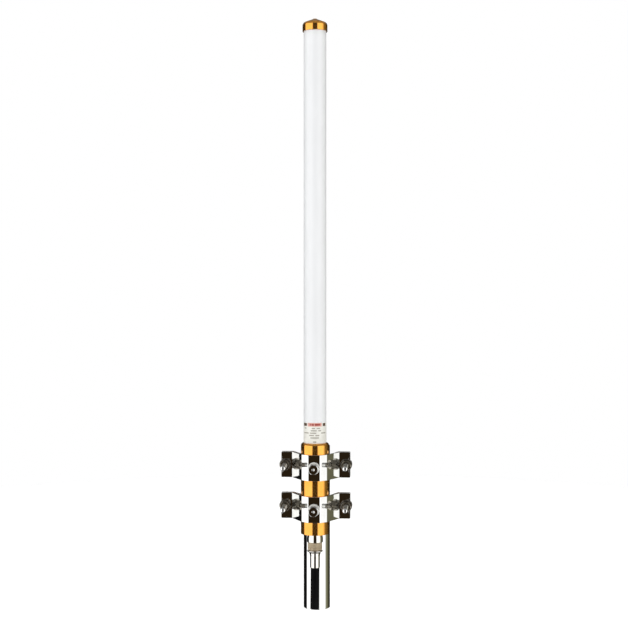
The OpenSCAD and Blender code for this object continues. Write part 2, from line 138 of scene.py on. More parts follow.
def turned(stations, segments, closed=False):
    """A body turned about +Z. A station is (z, r), and r is a number or a function of the angle and z."""
    points, faces, rings = [], [], []
    for z, r in stations:
        first = len(points)
        if not callable(r) and r == 0:
            points.append((0, 0, z))
            rings.append([first])
            continue
        for k in range(segments):
            angle = TAU * k / segments
            radius = r(angle, z) if callable(r) else r
            points.append((radius * math.cos(angle), radius * math.sin(angle), z))
        rings.append(list(range(first, first + segments)))
    pairs = list(zip(rings, rings[1:]))
    if closed:
        pairs.append((rings[-1], rings[0]))
    for a, b in pairs:
        for k in range(segments):
            n = (k + 1) % segments
            if len(a) == 1:
                faces.append((a[0], b[k], b[n]))
            elif len(b) == 1:
                faces.append((a[k], b[0], a[n]))
            else:
                faces.append((a[k], b[k], b[n], a[n]))
    return points, faces


def softened(profile, radius, closed=True, steps=4):
    """The profile's (z, r) corners rounded with arcs of a radius, or less where an edge is short."""
    count = len(profile)
    made = []
    for i, corner in enumerate(profile):
        if not closed and i in (0, count - 1):
            made.append(corner)
            continue
        corner = Vector(corner)
        before = Vector(profile[i - 1]) - corner
        after = Vector(profile[(i + 1) % count]) - corner
        half = before.angle(after) / 2
        if half > STRAIGHT:
            made.append(tuple(corner))
            continue
        reach = min(radius / math.tan(half), MOST_OF_EDGE * before.length, MOST_OF_EDGE * after.length)
        r = reach * math.tan(half)
        start = corner + before.normalized() * reach
        end = corner + after.normalized() * reach
        centre = corner + (before.normalized() + after.normalized()).normalized() * r / math.sin(half)
        turn = (start - centre).angle_signed(end - centre)
        for step in range(steps + 1):
            spoke = start - centre
            spoke.rotate(Matrix.Rotation(-turn * step / steps, 2))
            made.append(tuple(centre + spoke))
    return made


def moved(shape, matrix):
    points, faces = shape
    return [tuple(matrix @ Vector(p)) for p in points], faces


def joined(*shapes):
    points, faces = [], []
    for p, f in shapes:
        first = len(points)
        points += p
        faces += [tuple(first + i for i in face) for face in f]
    return points, faces


def ring_shape(outer, inner, low, high, edge, segments):
    """A tube between two heights, with its edges rounded."""
    section = softened([(low, inner), (low, outer), (high, outer), (high, inner)], edge)
    return turned(section, segments, True)


def hexagon_stations(across_flats, low, high, chamfer_high=True):
    """Stations up a hexagon's outside, with its corners turned off at its low end, or at both ends."""
    corner_r = across_flats / math.sqrt(3)
    face_r = across_flats / 2 * FACE_SHARE
    depth = (corner_r - face_r) / CHAMFER_SLOPE

    def radius(angle, z):
        off_flat = angle % (TAU / 6) - TAU / 12
        r = min(across_flats / 2 / math.cos(off_flat), corner_r - CORNER_WEAR)
        r = min(r, face_r + (z - low) * CHAMFER_SLOPE)
        if chamfer_high:
            r = min(r, face_r + (high - z) * CHAMFER_SLOPE)
        return r

    levels = [depth * k / CHAMFER_STEPS for k in range(CHAMFER_STEPS + 1)]
    below = [low + d for d in levels]
    above = [high - d for d in reversed(levels)] if chamfer_high else [high]
    return [(z, radius) for z in below + above]


def thread_radius(crest, depth, pitch):
    """Radius of a right-hand thread whose flanks make up most of its pitch."""
    def radius(angle, z):
        phase = (z / pitch - angle / TAU) % 1
        height = min(1, max(0, FLANK_TOP - abs(phase - 0.5) * FLANK_SLOPE))
        return crest - depth * (1 - height)
    return radius


def thread_stations(crest, depth, pitch, low, high, chamfer_low, chamfer_high):
    """Stations along a thread, whose ends are turned down by a chamfer each, or not where it is 0."""
    plain = thread_radius(crest, depth, pitch)

    def radius(angle, z):
        r = plain(angle, z)
        if chamfer_low:
            r = min(r, crest - chamfer_low + (z - low))
        if chamfer_high:
            r = min(r, crest - chamfer_high + (high - z))
        return r

    count = math.ceil((high - low) / pitch * LEVELS_PER_PITCH)
    return [(low + (high - low) * k / count, radius) for k in range(count + 1)]


# ---------- bent sheet ----------
SLEEVE_R = 16.7  # the base sleeve, which the brackets hug
SLIDE_GAP = 0.3  # between the sleeve and a bracket's inner faces
SHEET = 2.0
BEND_R = 1.25  # along the middle of the sheet
BEND_STEPS = 6
SHEET_CORNER_R = 1.2
SHEET_EDGE_R = 0.3
CORNER_STEPS = 5
HOLE_STEPS = 40
EAR_SETBACK = 12.0  # the ears' outer faces stand this far behind the tube's axis
EAR_REACH = 41.5
BOLT_X = 36.5
BRACKET_H = 30.4
BOLT_HOLE_R = 3.525
GRIP_HOLE_R = 3.3
# A rear bracket's edges slope in from its ears. These hold before it is mirrored to face the back
WAIST_H = 13.6  # its height where y is WAIST_Y or less
WAIST_Y = -12.0
SLOPE_FROM_Y = EAR_SETBACK - 0.5  # where y is more than this, it has its full height
HOLE_MARGIN = 0.5  # how close a bend's upright edges may come to a hole
SAME_PLACE = 1e-6
# Each facet's turn from the front in degrees, and its outer face's distance from the tube's axis
HUG_R = SLEEVE_R + SLIDE_GAP + SHEET
FACETS = ((0, HUG_R), (41, HUG_R), (61.5, HUG_R), (0, -EAR_SETBACK))


def normal_of(turn):
    return Vector((math.sin(turn), -math.cos(turn)))


def along_of(turn):
    return Vector((math.cos(turn), math.sin(turn)))


def sheet_path():
    """Spans of the sheet's middle line from the bracket's middle to an ear's end.

    A span is (length, turn at its start, turn at its end, start point, arc centre or None, side)."""
    lines = [(math.radians(turn), distance - SHEET / 2) for turn, distance in FACETS]
    corners = []
    for (a, da), (b, db) in zip(lines, lines[1:]):
        s = math.sin(b - a)
        across = (math.cos(a) * db - math.cos(b) * da) / s
        back = (math.sin(a) * db - math.sin(b) * da) / s
        corners.append(Vector((across, back)))
    spans = []
    start = Vector((0, -lines[0][1]))
    for (a, _), (b, _), corner in zip(lines, lines[1:], corners):
        reach = BEND_R * math.tan(abs(b - a) / 2)
        end = corner - along_of(a) * reach
        spans.append(((end - start).length, a, a, start, None, 0))
        side = 1 if b > a else -1
        spans.append((BEND_R * abs(b - a), a, b, end, end - normal_of(a) * BEND_R * side, side))
        start = corner + along_of(b) * reach
    last = lines[-1][0]
    spans.append((EAR_REACH - start.x, last, last, start, None, 0))
    return spans


SHEET_PATH = sheet_path()
SHEET_HALF = sum(span[0] for span in SHEET_PATH)
EAR_HOLE = SHEET_HALF - (EAR_REACH - BOLT_X)  # how far along the sheet an ear's hole is


def sheet_place(s, height, depth):
    """A point of the flat sheet once it is bent.

    It is s along the sheet from its middle, up by height, and out of the sheet's middle by depth."""
    left = abs(s)
    for length, turn_a, turn_b, start, centre, side in SHEET_PATH:
        if left <= length:
            break
        left -= length
    turn = turn_a + (turn_b - turn_a) * left / length
    if centre is None:
        place = start + along_of(turn) * left
    else:
        place = centre + normal_of(turn) * BEND_R * side
    place = place + normal_of(turn) * depth
    return math.copysign(place.x, s) if s else place.x, place.y, height


def bend_columns():
    """Where along the flat sheet its bends need edges, from the left to the right."""
    columns = {0.0}
    at = 0.0
    for length, _, _, _, centre, _ in SHEET_PATH[:-1]:
        if centre is not None:
            columns.update(at + length * k / BEND_STEPS for k in range(BEND_STEPS + 1))
        at += length
    return sorted({-c for c in columns} | columns)


def sheet_outline(columns, inset):
    """The flat sheet's outline, in by an inset: rightward along its bottom, and back along its top."""
    half_h = BRACKET_H / 2
    made = []
    for row_sign, row in ((-1, columns), (1, columns[::-1])):
        made += [(s, row_sign * (half_h - inset)) for s in row]
        centre_s = -row_sign * (SHEET_HALF - SHEET_CORNER_R)
        centre_h = row_sign * (half_h - SHEET_CORNER_R)
        for lift, flip in ((0, 1), (1, -1)):
            for k in range(CORNER_STEPS + 1):
                angle = math.pi / 2 * ((k / CORNER_STEPS) + lift)
                along, up = math.sin(angle), math.cos(angle)
                made.append((centre_s - row_sign * (SHEET_CORNER_R - inset) * along,
                             centre_h * flip + row_sign * (SHEET_CORNER_R - inset) * up))
    return made


def hole_outline(s, radius):
    angles = [TAU * k / HOLE_STEPS for k in range(HOLE_STEPS)]
    return [(s + radius * math.cos(angle), radius * math.sin(angle)) for angle in angles]


def crosses_hole(flat, pair, holes):
    """True for an upright line that would run through a hole or close by it."""
    a, b = flat[pair[0]], flat[pair[1]]
    upright = abs(a.x - b.x) < SAME_PLACE and abs(a.y - b.y) > BRACKET_H / 2
    return upright and any(abs(a.x - s) < radius + HOLE_MARGIN for s, radius in holes)


def flat_triangles(columns, holes):
    """Triangles of the flat sheet round its holes, with an edge along each bend.

    They number the points of the outline and of each hole's outline in turn."""
    border = sheet_outline(columns, SHEET_EDGE_R)
    flat = [Vector(p) for p in border]
    fixed = [(k, (k + 1) % len(flat)) for k in range(len(flat))]
    bottom = {round(s, 6): k for k, (s, _) in enumerate(border[:len(columns)])}
    top_from = len(border) // 2
    for k, (s, _) in enumerate(border[top_from:top_from + len(columns)]):
        fixed.append((bottom[round(s, 6)], top_from + k))
    for s, radius in holes:
        first = len(flat)
        flat += [Vector(p) for p in hole_outline(s, radius + SHEET_EDGE_R)]
        fixed += [(first + k, first + (k + 1) % HOLE_STEPS) for k in range(HOLE_STEPS)]
    fixed = [pair for pair in fixed if not crosses_hole(flat, pair, holes)]
    spots, _, triangles, origin, _, _ = geometry.delaunay_2d_cdt(flat, fixed, [], 0, SAME_PLACE)
    kept = []
    for triangle in triangles:
        centre = sum((spots[i] for i in triangle), Vector((0, 0))) / len(triangle)
        if all((centre - Vector((s, 0))).length >= radius for s, radius in holes):
            kept.append([origin[i][0] for i in triangle])
    return kept


def bracket_shape(holes):
    """Bent sheet with rounded corners, rolled edges and round holes, which are (s, radius) at half height.

    The faces of its inner side come last, and their number is the third value."""
    columns = bend_columns()
    turns = (0, math.pi / 4, math.pi / 2)
    levels = [(SHEET_EDGE_R * (1 - math.sin(turn)), SHEET / 2 - SHEET_EDGE_R * (1 - math.cos(turn)))
              for turn in turns]
    levels += [(inset, -depth) for inset, depth in reversed(levels)]
    points, loops = [], []
    for inset, depth in levels:
        level = []
        for flat in [sheet_outline(columns, inset)] + [hole_outline(s, r + inset) for s, r in holes]:
            first = len(points)
            points += [sheet_place(s, up, depth) for s, up in flat]
            level.append(list(range(first, first + len(flat))))
        loops.append(level)
    faces = []
    for above, below in zip(loops, loops[1:]):
        for a, b in zip(above, below):
            for k in range(len(a)):
                n = (k + 1) % len(a)
                faces.append((a[k], b[k], b[n], a[n]))
    side = flat_triangles(columns, holes)
    for level in (loops[0], loops[-1]):
        chosen = [i for loop in level for i in loop]
        faces += [tuple(chosen[i] for i in triangle) for triangle in side]
    return points, faces, len(side)


def drawn_in(points):
    """A bracket's points when its edges slope in from the ears to a waist round the tube."""
    slope = (BRACKET_H - WAIST_H) / (SLOPE_FROM_Y - WAIST_Y)
    made = []
    for x, y, z in points:
        height = min(BRACKET_H, WAIST_H + slope * max(0.0, y - WAIST_Y))
        made.append((x, y, z * height / BRACKET_H))
    return made


# ---------- materials ----------

def link(tree, source, target):
    tree.links.new(source, target)


def add(tree, kind, inputs=(), **settings):
    """A node with its settings, and its inputs as (name or index, value or socket)."""
    made = tree.nodes.new(kind)
    for name, value in settings.items():
        setattr(made, name, value)
    for name, value in inputs:
        if isinstance(value, bpy.types.NodeSocket):
            link(tree, value, made.inputs[name])
        else:
            made.inputs[name].default_value = value
    return made


def rgba(colour):
    return (*colour, 1.0)


def coordinates(tree, stretch=(1, 1, 1)):
    where = add(tree, "ShaderNodeTexCoord").outputs["Object"]
    return add(tree, "ShaderNodeMapping", [("Vector", where), ("Scale", stretch)]).outputs["Vector"]


def noise(tree, size_mm, stretch=(1, 1, 1), detail=3.0):
    """Soft noise whose features are about a size across."""
    inputs = [("Vector", coordinates(tree, stretch)), ("Scale", 1 / (size_mm * MM)), ("Detail", detail)]
    return add(tree, "ShaderNodeTexNoise", inputs).outputs["Fac"]


def spread(tree, value, low, high, from_low=0.3, from_high=0.7):
    """A value from one range, which noise mostly keeps to if none is given, spread over another."""
    inputs = [("Value", value), ("From Min", from_low), ("From Max", from_high)]
    inputs += [("To Min", low), ("To Max", high)]
    return add(tree, "ShaderNodeMapRange", inputs).outputs["Result"]


def blend_colours(tree, factor, low, high):
    """A mix of two colours, which the node takes at inputs 6 and 7 and gives at output 2."""
    inputs = [("Factor", factor), (6, low), (7, high)]
    return add(tree, "ShaderNodeMix", inputs, data_type="RGBA").outputs[2]


def math_node(tree, operation, *values):
    return add(tree, "ShaderNodeMath", list(enumerate(values)), operation=operation).outputs[0]


def bump(tree, height, distance_mm):
    inputs = [("Height", height), ("Distance", distance_mm * MM), ("Strength", 1.0)]
    return add(tree, "ShaderNodeBump", inputs).outputs["Normal"]


BLOTCH_SHARE = 0.6  # of a surface's roughness pattern, the rest being its grain


def surface(name, dark, light, rough, metallic=0.0, *, blotch_mm, grain_mm, grain_depth_mm,
            blotch_stretch=(1, 1, 1), grain_stretch=(1, 1, 1), **sockets):
    """A material whose colour and roughness each drift between two values, over a fine grain in relief."""
    made = bpy.data.materials.new(name)
    made.use_nodes = True
    tree = made.node_tree
    shader = tree.nodes["Principled BSDF"]
    shader.inputs["Metallic"].default_value = metallic
    for socket, value in sockets.items():
        shader.inputs[socket.replace("_", " ")].default_value = value
    blotches = noise(tree, blotch_mm, blotch_stretch)
    grain = noise(tree, grain_mm, grain_stretch, detail=2.0)
    tone = spread(tree, blotches, 0, 1)
    link(tree, blend_colours(tree, tone, rgba(dark), rgba(light)), shader.inputs["Base Color"])
    coarse = math_node(tree, "MULTIPLY", blotches, BLOTCH_SHARE)
    fine = math_node(tree, "MULTIPLY", grain, 1 - BLOTCH_SHARE)
    link(tree, spread(tree, math_node(tree, "ADD", coarse, fine), *rough), shader.inputs["Roughness"])
    link(tree, bump(tree, grain, grain_depth_mm), shader.inputs["Normal"])
    return made


TURNED = (1, 1, 60)  # squeezes noise into fine rings round a turned part
DRAWN = (30, 30, 1)  # draws noise out into fine lines along a tube

mirror_steel = surface("polished_stainless", (0.74, 0.74, 0.72), (0.84, 0.84, 0.82), (0.03, 0.07), 1.0,
                       blotch_mm=9, grain_mm=1.2, grain_depth_mm=0.0012)
# Satin steel for the brackets' insides and the grip washer. Its colour is made lighter and only part
# metallic. This is painted light, which makes the brackets' shaded insides read as lit.
satin_steel_painted_light = surface("satin_stainless_painted_light", (0.82, 0.81, 0.77), (0.90, 0.89, 0.85), (0.40, 0.56), 0.45,
                      blotch_mm=4, grain_mm=0.35, grain_stretch=(1, 1, 6), grain_depth_mm=0.004)
nut_steel = surface("nut_steel", (0.26, 0.235, 0.19), (0.38, 0.35, 0.29), (0.06, 0.13), 1.0,
                    blotch_mm=3, grain_mm=0.8, grain_depth_mm=0.002)
mast_chrome = surface("bright_mast_tube", (0.76, 0.76, 0.75), (0.85, 0.85, 0.84), (0.03, 0.08), 1.0,
                      blotch_mm=25, blotch_stretch=(1, 1, 0.3), grain_mm=2, grain_stretch=DRAWN,
                      grain_depth_mm=0.001)
dull_steel = surface("dull_fasteners", (0.34, 0.32, 0.28), (0.48, 0.46, 0.41), (0.14, 0.26), 1.0,
                     blotch_mm=3, grain_mm=0.3, grain_depth_mm=0.006)
gold = surface("gold_anodised", (0.84, 0.36, 0.06), (0.88, 0.43, 0.085), (0.07, 0.13), 0.94,
               blotch_mm=14, grain_mm=6, grain_stretch=TURNED, grain_depth_mm=0.002)
nickel = surface("nickel_plate", (0.70, 0.68, 0.63), (0.80, 0.78, 0.73), (0.03, 0.08), 1.0,
                 blotch_mm=5, grain_mm=4, grain_stretch=TURNED, grain_depth_mm=0.0015)
knurled_nickel = surface("knurled_nickel", (0.50, 0.40, 0.27), (0.62, 0.52, 0.37), (0.30, 0.44), 1.0,
                         blotch_mm=2, grain_mm=0.25, grain_depth_mm=0.008)
radome_white = surface("gelcoat_white", (0.78, 0.79, 0.80), (0.82, 0.83, 0.84), (0.28, 0.40),
                       blotch_mm=30, blotch_stretch=(1, 1, 0.35), grain_mm=1.5, grain_stretch=(1, 1, 0.5),
                       grain_depth_mm=0.01, Coat_Weight=0.25, Coat_Roughness=0.12)
seal_rubber = surface("seal_rubber", (0.012, 0.012, 0.012), (0.03, 0.03, 0.03), (0.55, 0.75),
                      blotch_mm=4, grain_mm=0.3, grain_depth_mm=0.02)
jacket = surface("cable_jacket", (0.003, 0.003, 0.003), (0.007, 0.007, 0.007), (0.42, 0.56),
                 blotch_mm=10, blotch_stretch=(1, 1, 0.3), grain_mm=0.5, grain_stretch=(1, 1, 0.3),
                 grain_depth_mm=0.012, Specular_IOR_Level=0.03)
ptfe = surface("ptfe", (0.82, 0.82, 0.80), (0.90, 0.90, 0.88), (0.35, 0.5),
               blotch_mm=5, grain_mm=0.4, grain_depth_mm=0.01, Subsurface_Weight=0.1)
brass = surface("drawn_brass", (0.72, 0.48, 0.18), (0.82, 0.58, 0.24), (0.18, 0.32), 1.0,
                blotch_mm=8, grain_mm=1.5, grain_stretch=DRAWN, grain_depth_mm=0.003)
copper = surface("bare_copper", (0.80, 0.38, 0.22), (0.90, 0.47, 0.30), (0.2, 0.35), 1.0,
                 blotch_mm=5, grain_mm=0.6, grain_depth_mm=0.004)
acetal = surface("black_acetal", (0.02, 0.02, 0.022), (0.035, 0.035, 0.04), (0.3, 0.45),
                 blotch_mm=5, grain_mm=2, grain_stretch=TURNED, grain_depth_mm=0.006)
foam = surface("closed_cell_foam", (0.25, 0.26, 0.28), (0.36, 0.37, 0.39), (0.8, 0.95),
               blotch_mm=2, grain_mm=0.8, grain_depth_mm=0.15)

# What the nodes of each material slot are made of, where they keep their CAD shape
SLOT_MATERIALS = {
    "mast_tube": mast_chrome,
    "radome": radome_white,
    "gold_anodised": gold,
    "rubber": seal_rubber,
    "label": radome_white,
    "nickel": nickel,
    "ptfe": ptfe,
    "brass": brass,
    "copper": copper,
    "acetal": acetal,
    "foam": foam,
    "cable_jacket": jacket,
    "stainless": mirror_steel,
    "fastener": dull_steel,
}
for name, node_object in frame["nodes"].items():
    node_object.data.materials.clear()
    node_object.data.materials.append(SLOT_MATERIALS[SLOT[name]])


# The label's print, bottom to top in millimetres and left to right in degrees from the front
PINK, RED, DARK, GREY = (0.70, 0.38, 0.32), (0.34, 0.06, 0.045), (0.09, 0.05, 0.03), (0.33, 0.31, 0.26)
LABEL_BLOCKS = (
    (PINK, 223.6, 228.2, -36, 40),
    (RED, 224.6, 227.0, -24, -17),
    (RED, 224.6, 227.0, -14, -2),
    (RED, 224.6, 227.0, 3, 32),
    (DARK, 224.0, 227.3, -68, -40),
    (DARK, 224.0, 227.3, 46, 68),
)
RULE_H = 1.3
LABEL_RULES = (
    (220.8, -58, -44), (220.8, -12, 4), (220.8, 12, 30),
    (218.0, -18, 12), (218.0, 20, 36),
    (215.2, -64, -30), (215.2, -22, 10), (215.2, 36, 68),
    (212.4, -26, -2), (212.4, 6, 26),
    (209.6, -20, 24),
    (204.8, -6, 10),
)


def label_material():
    """Cream vinyl with red blocks on a pink stripe, dark blocks beside it, and rows of grey rules below."""
    made = surface("printed_label", (0.76, 0.75, 0.69), (0.82, 0.81, 0.75), (0.3, 0.45),
                   blotch_mm=8, grain_mm=0.5, grain_depth_mm=0.006)
    tree = made.node_tree
    shader = tree.nodes["Principled BSDF"]
    ground = shader.inputs["Base Color"].links[0].from_socket
    where = add(tree, "ShaderNodeSeparateXYZ", [("Vector", coordinates(tree))]).outputs
    forward = math_node(tree, "MULTIPLY", where["Y"], -1.0)
    angle = math_node(tree, "ARCTAN2", where["X"], forward)

    def within(value, low, high):
        above = math_node(tree, "GREATER_THAN", value, low)
        below = math_node(tree, "LESS_THAN", value, high)
        return math_node(tree, "MULTIPLY", above, below)

    rules = [(GREY, low, low + RULE_H, left, right) for low, left, right in LABEL_RULES]
    for colour, low, high, left, right in (*LABEL_BLOCKS, *rules):
        patch = math_node(tree, "MULTIPLY", within(where["Z"], low * MM, high * MM),
                          within(angle, math.radians(left), math.radians(right)))
        ground = blend_colours(tree, patch, ground, rgba(colour))
    link(tree, ground, shader.inputs["Base Color"])
    return made


label_print = label_material()


# ---------- pieces ----------
SAME_POINT = 1e-7  # metres
SHARP_FROM = math.radians(50)


def piece(node, shape, material, place=ON_AXIS, name=None, stands_in=True, lining=None):
    """Makes a shape into a smooth-shaded mesh that rides on its node's body, and may stand in for the node.

    A lining is (material, number of faces), and covers that many of the shape's last faces."""
    points, faces = shape
    mesh = bpy.data.meshes.new(name or f"{node}_detail")
    mesh.from_pydata([Vector(p) * MM for p in points], [], faces)
    mesh.materials.append(material)
    if lining:
        mesh.materials.append(lining[0])
        for face in mesh.polygons[-lining[1]:]:
            face.material_index = 1
    cleaner = bmesh.new()
    cleaner.from_mesh(mesh)
    bmesh.ops.remove_doubles(cleaner, verts=cleaner.verts, dist=SAME_POINT)
    bmesh.ops.recalc_face_normals(cleaner, faces=cleaner.faces)
    cleaner.to_mesh(mesh)
    cleaner.free()
    mesh.polygons.foreach_set("use_smooth", [True] * len(mesh.polygons))
    mesh.set_sharp_from_angle(angle=SHARP_FROM)
    made = bpy.data.objects.new(mesh.name, mesh)
    scene.collection.objects.link(made)
    made.matrix_world = Matrix.Translation(place.to_translation() * MM) @ place.to_3x3().to_4x4()
    weighted = made.modifiers.new("weighted_normals", "WEIGHTED_NORMAL")
    weighted.keep_sharp = True
    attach(made, BODY[node])
    if stands_in:
        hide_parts(node)
    return made


# Feeder cable, first of all: it leaves the plug straight down and ends cut off square
FEEDER_ROUTE = ((0, 72), (0, 61), (0, 50), (-0.1, 39), (-0.2, 28), (-0.35, 17), (-0.5, 6))
FEEDER_LEAN, FEEDER_FOOT = FEEDER_ROUTE[-1]
FEEDER_R = 5.15
FEEDER_BORE_R = 3.9
# The layers inside the jacket at the cut end: outer radius, inner radius and material
CUT_LAYERS = ((FEEDER_BORE_R, 3.5, dull_steel), (3.5, 1.1, ptfe), (1.1, 0, copper))
CUT_DEPTH = 1.5  # how far up the layers are built
CUT_SET_BACK = 0.2  # how far above the jacket's foot the outermost layer ends
CUT_STEP = 0.1  # how much lower each next layer ends
CORE_EDGE = 0.1


def feeder_centre(z):
    """How far off the antenna's axis the route runs at a height, which is no lower than its foot."""
    for (xa, za), (xb, zb) in zip(FEEDER_ROUTE, FEEDER_ROUTE[1:]):
        if z >= zb:
            return xa + (xb - xa) * (za - z) / (za - zb)


def feeder_jacket():
    outside = [(z, FEEDER_R) for _, z in FEEDER_ROUTE[:-1]]
    edge, edge_middle = 0.25, 0.07
    cut = [(FEEDER_FOOT + edge, FEEDER_R), (FEEDER_FOOT + edge_middle, FEEDER_R - edge_middle),
           (FEEDER_FOOT, FEEDER_R - edge), (FEEDER_FOOT, FEEDER_BORE_R)]
    inside = [(FEEDER_FOOT + CUT_DEPTH, FEEDER_BORE_R), (FEEDER_FOOT + CUT_DEPTH, 0)]
    points, faces = turned([(FEEDER_ROUTE[0][1], 0), *outside, *cut, *inside], CABLE_SIDES)
    return [(x + feeder_centre(z), y, z) for x, y, z in points], faces


cable = piece("feeder_cable", feeder_jacket(), jacket)
at_cut_end = ON_AXIS @ Matrix.Translation((FEEDER_LEAN, 0, 0))
for layer, (outer, inner, material) in enumerate(CUT_LAYERS):
    foot = FEEDER_FOOT + CUT_SET_BACK - CUT_STEP * layer
    head = FEEDER_FOOT + CUT_DEPTH
    if inner:
        shape = ring_shape(outer, inner, foot, head, edge=0.05, segments=LAYER_SIDES)
    else:
        end = [(foot, 0), (foot, outer - CORE_EDGE), (foot + CORE_EDGE, outer)]
        shape = turned(end + [(head, outer), (head, 0)], CORE_SIDES)
    piece("feeder_cable", shape, material, at_cut_end, name=f"feeder_cut_end_layer_{layer + 1}",
          stands_in=False)

# Mast
MAST_R = 15.875
MAST_BORE_R = 14.225
mast_low, mast_high = (c.z for c in box_mm("mast_stub"))
mast_shape = ring_shape(MAST_R, MAST_BORE_R, mast_low, mast_high, edge=0.45, segments=TUBE_SIDES)
piece("mast_stub", mast_shape, mast_chrome, Matrix.Identity(4))

# Radome and its cap
RADOME_R = 13.35
RADOME_BORE_R = 10.95
radome_low, radome_high = (c.z for c in box_mm("radome_tube"))
radome_shape = ring_shape(RADOME_R, RADOME_BORE_R, radome_low, radome_high, edge=0.5, segments=TUBE_SIDES)
piece("radome_tube", radome_shape, radome_white)

CAP_R = 14.8
CAP_SHOULDER = 4.5
CAP_SLOPE = math.radians(21.5)
FIT_GAP = 0.05  # between the radome and what is glued round it
SHOULDER_STEPS = 8
BUTTON_R = 2.7
BUTTON_H = 0.5
cap_low, cap_high = (c.z for c in box_mm("top_cap"))


def cap_shape():
    """Skirt with a rolled lip, rounded shoulder, coned crown and a small raised button."""
    ceiling = radome_high + 1
    centre_r, centre_z = CAP_R - CAP_SHOULDER, ceiling - 0.1
    shoulder = []
    for k in range(SHOULDER_STEPS + 1):
        turn = math.pi / 2 + (CAP_SLOPE - math.pi / 2) * k / SHOULDER_STEPS
        shoulder.append((centre_z + CAP_SHOULDER * math.cos(turn),
                         centre_r + CAP_SHOULDER * math.sin(turn)))
    crown = cap_high - BUTTON_H
    bore = RADOME_R + FIT_GAP
    inside = [(ceiling, 0), (ceiling, bore)]
    lip = [(cap_low + 0.3, bore), (cap_low, bore + 0.3), (cap_low, CAP_R - 0.35),
           (cap_low + 0.1, CAP_R - 0.1), (cap_low + 0.35, CAP_R)]
    button = [shoulder[-1], (crown, BUTTON_R), (cap_high, BUTTON_R - 0.2), (cap_high, 0)]
    return turned(inside + lip + shoulder[:-1] + softened(button, 0.3, False), TUBE_SIDES)


piece("top_cap", cap_shape(), gold)

# Base sleeve and label
SLEEVE_ROUND = 3.3
LABEL_T = 0.15
sleeve_low, sleeve_high = (c.z for c in box_mm("base_sleeve"))


def sleeve_shape():
    """Long gold sleeve, rounded at its top and bored out for the radome above and the base plug below."""
    radome_bore, bore, plug_bore = RADOME_R + FIT_GAP, 12.0, 13.0
    plug_top = sleeve_low + 10.0
    shoulder = []
    for k in range(SHOULDER_STEPS + 1):
        turn = math.pi / 2 * (1 - k / SHOULDER_STEPS)
        shoulder.append((sleeve_high - SLEEVE_ROUND * (1 - math.cos(turn)),
                         SLEEVE_R - SLEEVE_ROUND * (1 - math.sin(turn))))
    foot = [(plug_top, plug_bore), (sleeve_low, plug_bore), (sleeve_low, SLEEVE_R), shoulder[0]]
    foot = softened(foot, 0.35, False)
    inside = [(sleeve_high - 0.05, radome_bore), (radome_low, radome_bore), (radome_low, bore),
              (plug_top, bore)]
    return turned(foot[:-1] + shoulder + inside, TUBE_SIDES, True)


piece("base_sleeve", sleeve_shape(), gold)
label_low, label_high = (c.z for c in box_mm("label_wrap"))
label_bore_r = RADOME_R + FIT_GAP
label_shape = ring_shape(label_bore_r + LABEL_T, label_bore_r, label_low, label_high, edge=0.05,
                         segments=TUBE_SIDES)
piece("label_wrap", label_shape, label_print)

# Socket with its threaded barrel, which shows when the plug is pulled off
BARREL_R = 7.9
BARREL_PITCH = 1.058
BARREL_DEPTH = 0.55
socket_low, socket_high = (c.z for c in box_mm("socket_body"))


def socket_shape():
    """Threaded barrel below the sleeve, and above it a stem with a flange, bored right through."""
    bore, flange_r, stem_r = 4.3, 10, 5.5
    mouth_edge, relief = 0.4, 0.6
    flange_low = sleeve_low + 6
    flange_high = flange_low + 2
    thread_end = sleeve_low - 0.9
    thread = thread_stations(BARREL_R, BARREL_DEPTH, BARREL_PITCH, socket_low, thread_end,
                             chamfer_low=0.6, chamfer_high=0.5)
    mouth = [(socket_low + mouth_edge, bore), (socket_low, bore + mouth_edge)]
    neck = [(thread_end, BARREL_R - relief), (sleeve_low - 0.5, BARREL_R), (flange_low, BARREL_R)]
    flange = [(flange_low, flange_r), (flange_high, flange_r), (flange_high, stem_r)]
    stem = [(socket_high, stem_r), (socket_high, bore)]
    return turned(mouth + thread + neck + flange + stem, SOCKET_SIDES, True)


piece("socket_body", socket_shape(), nickel)


# ---------- clamps ----------
BOLT_R = 3.175
THREAD_PITCH = 1.27
THREAD_DEPTH = 0.72
THREAD_FROM = 0.4  # how far beyond a bolt's head its thread starts
THREAD_GAP = 0.08  # between a thread and its nut
NUT_ACROSS = 11.11
NUT_H = 5.6
NUT_SINK = 0.45  # how far a nut's thread is countersunk
HEAD_H = 4.1
HEAD_COLLAR = ((-0.3, 0.475), (-0.05, 0.475), (0, 0.465))  # under a head: height, and radius / NUT_ACROSS
DISH_R, DISH_FLOOR_R, DISH_H = 1.6, 0.5, 0.35  # the shallow dish in a head
POINT_R, POINT_LEN, DOME_H = 2.9, 5.0, 1.3
DOME_STEPS = 10
WASHER_R = 7.0
WASHER_T = 1.3
LOCK_WASHER_R = BOLT_R + 2.5
LOCK_WASHER_T = 1.6
SLACK = 0.02  # keeps a lock washer clear of the nut that it only touches
SPLIT_GAP = math.radians(9)
SPLIT_AT = math.radians(40)
SPLIT_EDGE = 0.15
SPLIT_STEPS = 60


def bolt_shape(length):
    """Hexagon bolt along +Z, from its head with a shallow dish to where its bright point starts."""
    rim_half, rim_h = 0.1, 0.12
    head = [(DISH_H - HEAD_H, 0), (DISH_H - HEAD_H, DISH_FLOOR_R), (rim_h - HEAD_H, DISH_R - rim_half),
            (-HEAD_H, DISH_R + rim_half)]
    head += hexagon_stations(NUT_ACROSS, -HEAD_H, HEAD_COLLAR[0][0], chamfer_high=False)
    head += [(z, NUT_ACROSS * share) for z, share in HEAD_COLLAR]
    thread_end = length - POINT_LEN
    thread = thread_stations(BOLT_R, THREAD_DEPTH, THREAD_PITCH, THREAD_FROM, thread_end,
                             chamfer_low=0, chamfer_high=0.3)
    shank = [(0, BOLT_R), (THREAD_FROM, BOLT_R)]
    return turned(head + shank + thread + [(thread_end, 0)], BOLT_SIDES)


